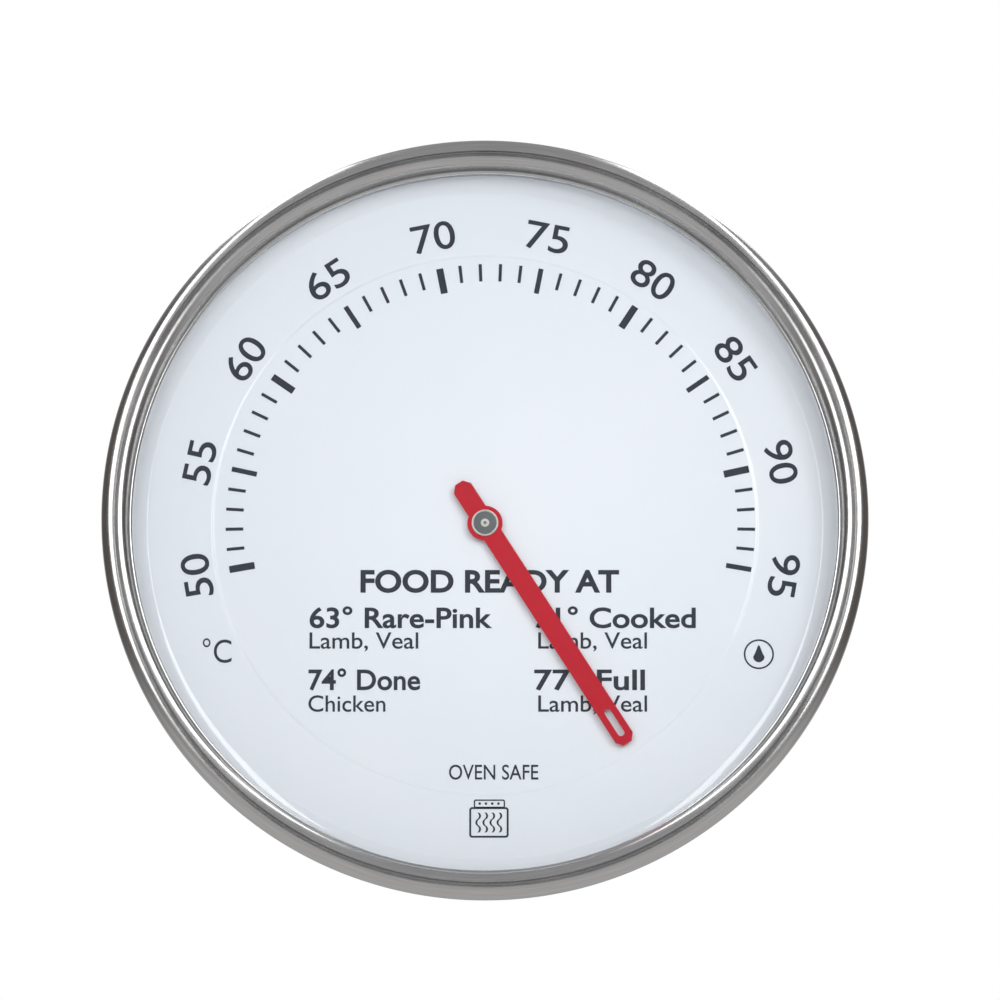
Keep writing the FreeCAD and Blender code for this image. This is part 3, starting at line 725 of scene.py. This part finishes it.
# A small oven: a panel with four knobs, and a door with four waves of heat.
OVEN_STROKE = 0.2
WAVE_RISE = 0.33
WAVE_HALF_TURN = math.radians(58)
wave_hollow = WAVE_RISE / math.tan(WAVE_HALF_TURN)
oven = bmesh.new()
round_box(oven, -2.09, 1.82, -31.36, -28.3, 0.3, OVEN_STROKE)
round_box(oven, -1.64, 1.46, -28.4, -27.54, 0.2, OVEN_STROKE * 0.7)
for number in range(4):
    knob = Matrix.Translation((-1.05 + number * 0.62, -27.95, 0))
    bmesh.ops.create_circle(oven, cap_ends=True, segments=16, radius=0.13, matrix=knob)
    wave = [bmesh.ops.create_vert(oven, co=(-1.30 + number * 0.70, -28.85, 0))["vert"][0]]
    for bend in (-1, 1, -1):
        centre = (wave[0].co.x + bend * wave_hollow, wave[-1].co.y - WAVE_RISE, 0)
        arc = bmesh.ops.spin(
            oven, geom=wave[-1:], cent=centre, axis=(0, 0, 1), dvec=(0, 0, 0),
            angle=bend * 2 * WAVE_HALF_TURN, steps=8, use_merge=False,
        )
        wave.append(arc["geom_last"][0])
    lines = [edge for edge in oven.edges if edge.is_wire]
    ribbon = bmesh.ops.extrude_edge_only(oven, edges=lines)["geom"]
    ribbon = [item for item in ribbon if isinstance(item, bmesh.types.BMVert)]
    bmesh.ops.translate(oven, verts=ribbon, vec=(OVEN_STROKE, 0, 0))
thicken(oven)
print_on_dial("oven_mark", oven, RING_DEPTH)

# A ring with a drop of water in it, for washing up, and the unit of the scale.
RING_STROKE = 0.17
DROP_RADIUS = 0.56
washing = bmesh.new()
place = Matrix.Translation((26.65, -13.0, 0))
bmesh.ops.create_circle(washing, cap_ends=True, segments=64, radius=1.5, matrix=place)
line_drawn(washing, washing.faces[:], RING_STROKE)
drop = bmesh.ops.create_circle(
    washing, cap_ends=True, segments=32, radius=DROP_RADIUS, matrix=place @ Matrix.Translation((0, -0.25, 0))
)
for point in drop["verts"]:
    rise = max(0.0, (point.co.y + 13.25) / DROP_RADIUS)
    point.co.x = 26.65 + (point.co.x - 26.65) * (1 - 0.45 * rise)
    point.co.y += 0.62 * rise ** 3
thicken(washing)


def unit_place(left, right):
    """Set the unit of the scale under its low end."""
    across = 2.87 / (right - left)
    size = Matrix.Diagonal((across, 2.3 / CAP_HEIGHT, INK_THICKNESS, 1))
    return Matrix.Translation((-28.55 - left * across, -13.85, 0)) @ size


set_words(washing, "°C", unit_place)
print_on_dial("unit_and_washing_marks", washing, RING_DEPTH)

# ---------------------------------------------------------------------------------------------
# Pointer: sheet in satin red enamel, with a turned steel hub riveted in it. The hub has a raised
# rim round a duller face; the rim is a much brighter copy of the steel, a painted highlight. The
# spindle's centre-drilled end shows in its middle, in the same painted highlight steel, with its
# centre hole in the darker hub steel as painted shade.
# ---------------------------------------------------------------------------------------------
red, tree, shader, coordinate = new_material("red_enamel", Roughness=0.26, Specular_IOR_Level=0.2)
pigment = noise_node(tree, coordinate, 2500.0, 3.0, 0.6)
reds = blend_colours(tree, pigment, (0.42, 0.010, 0.020, 1.0), (0.54, 0.016, 0.030, 1.0))
tree.links.new(reds, shader.inputs["Base Color"])
tree.links.new(bump(tree, pigment, 4.0e-6), shader.inputs["Normal"])
finish_nodes(red, "pointer_blade")

HUB_TOP = (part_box("pointer_hub")[0].y - crown_y) / MM
HUB_FACE = HUB_TOP + 0.1
BLADE_FRONT = (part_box("pointer_blade")[0].y - crown_y) / MM
BLADE_BACK = (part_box("pointer_blade")[1].y - crown_y) / MM
HUB_END = (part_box("pointer_hub")[1].y - crown_y) / MM
HUB_RIM_START = 1.12 * MM
hub_steel = steel("turned_hub_steel", (0.34, 0.345, 0.355, 1.0), 16000.0, 3.0e-6, 2.0e-6, 0.34)
# A far brighter copy of the hub's steel: a painted highlight on the hub's rim and the spindle's end.
painted_highlight_steel = steel("steel_with_painted_highlight", (0.93, 0.90, 0.85, 1.0), 12000.0, 1.0e-6, 1.0e-6, 0.52)
hub_shape = lathe_shape(
    96,
    (0.42, HUB_FACE),
    (1.13, HUB_FACE),
    (1.23, HUB_FACE, 180, 10),
    (1.33, BLADE_FRONT),
    (0.9, BLADE_FRONT),
    (0.9, BLADE_BACK),
    (1.05, BLADE_BACK),
    (1.05, HUB_END),
    (0.42, HUB_END),
)
hub = place_piece("pointer_hub_turned", hub_shape, hub_steel, "pointer", "hub_steel", "pointer_hub")
# The rim's faces take the bright steel, a painted highlight.
hub.data.materials.append(painted_highlight_steel)
for face in hub.data.polygons:
    middle = face.center
    if math.hypot(middle.x, middle.z) > HUB_RIM_START and middle.y < crown_y + BLADE_FRONT * MM:
        face.material_index = 1

CENTRE_HOLE_RADIUS = 0.16
spindle_front = (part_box("spindle")[0].y - crown_y) / MM
spindle_end = (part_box("spindle")[1].y - crown_y) / MM
spindle_shape = lathe_shape(
    64,
    (0.0, spindle_front + 0.18),
    (CENTRE_HOLE_RADIUS, spindle_front),
    (0.37, spindle_front),
    (0.37, spindle_front + 0.05, 90, 4),
    (0.42, spindle_end),
    (0.0, spindle_end),
)
# The spindle's end takes the bright steel as a painted highlight, and its centre hole the darker hub steel as
# painted shade.
spindle = place_piece("spindle_turned", spindle_shape, painted_highlight_steel, "pointer", "hub_steel", "spindle")
spindle.data.materials.append(hub_steel)
for face in spindle.data.polygons:
    if math.hypot(face.center.x, face.center.z) < CENTRE_HOLE_RADIUS * MM:
        face.material_index = 1

size = {"cad": [list(corner) for corner in cad_box], "visual": [list(corner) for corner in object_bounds()]}
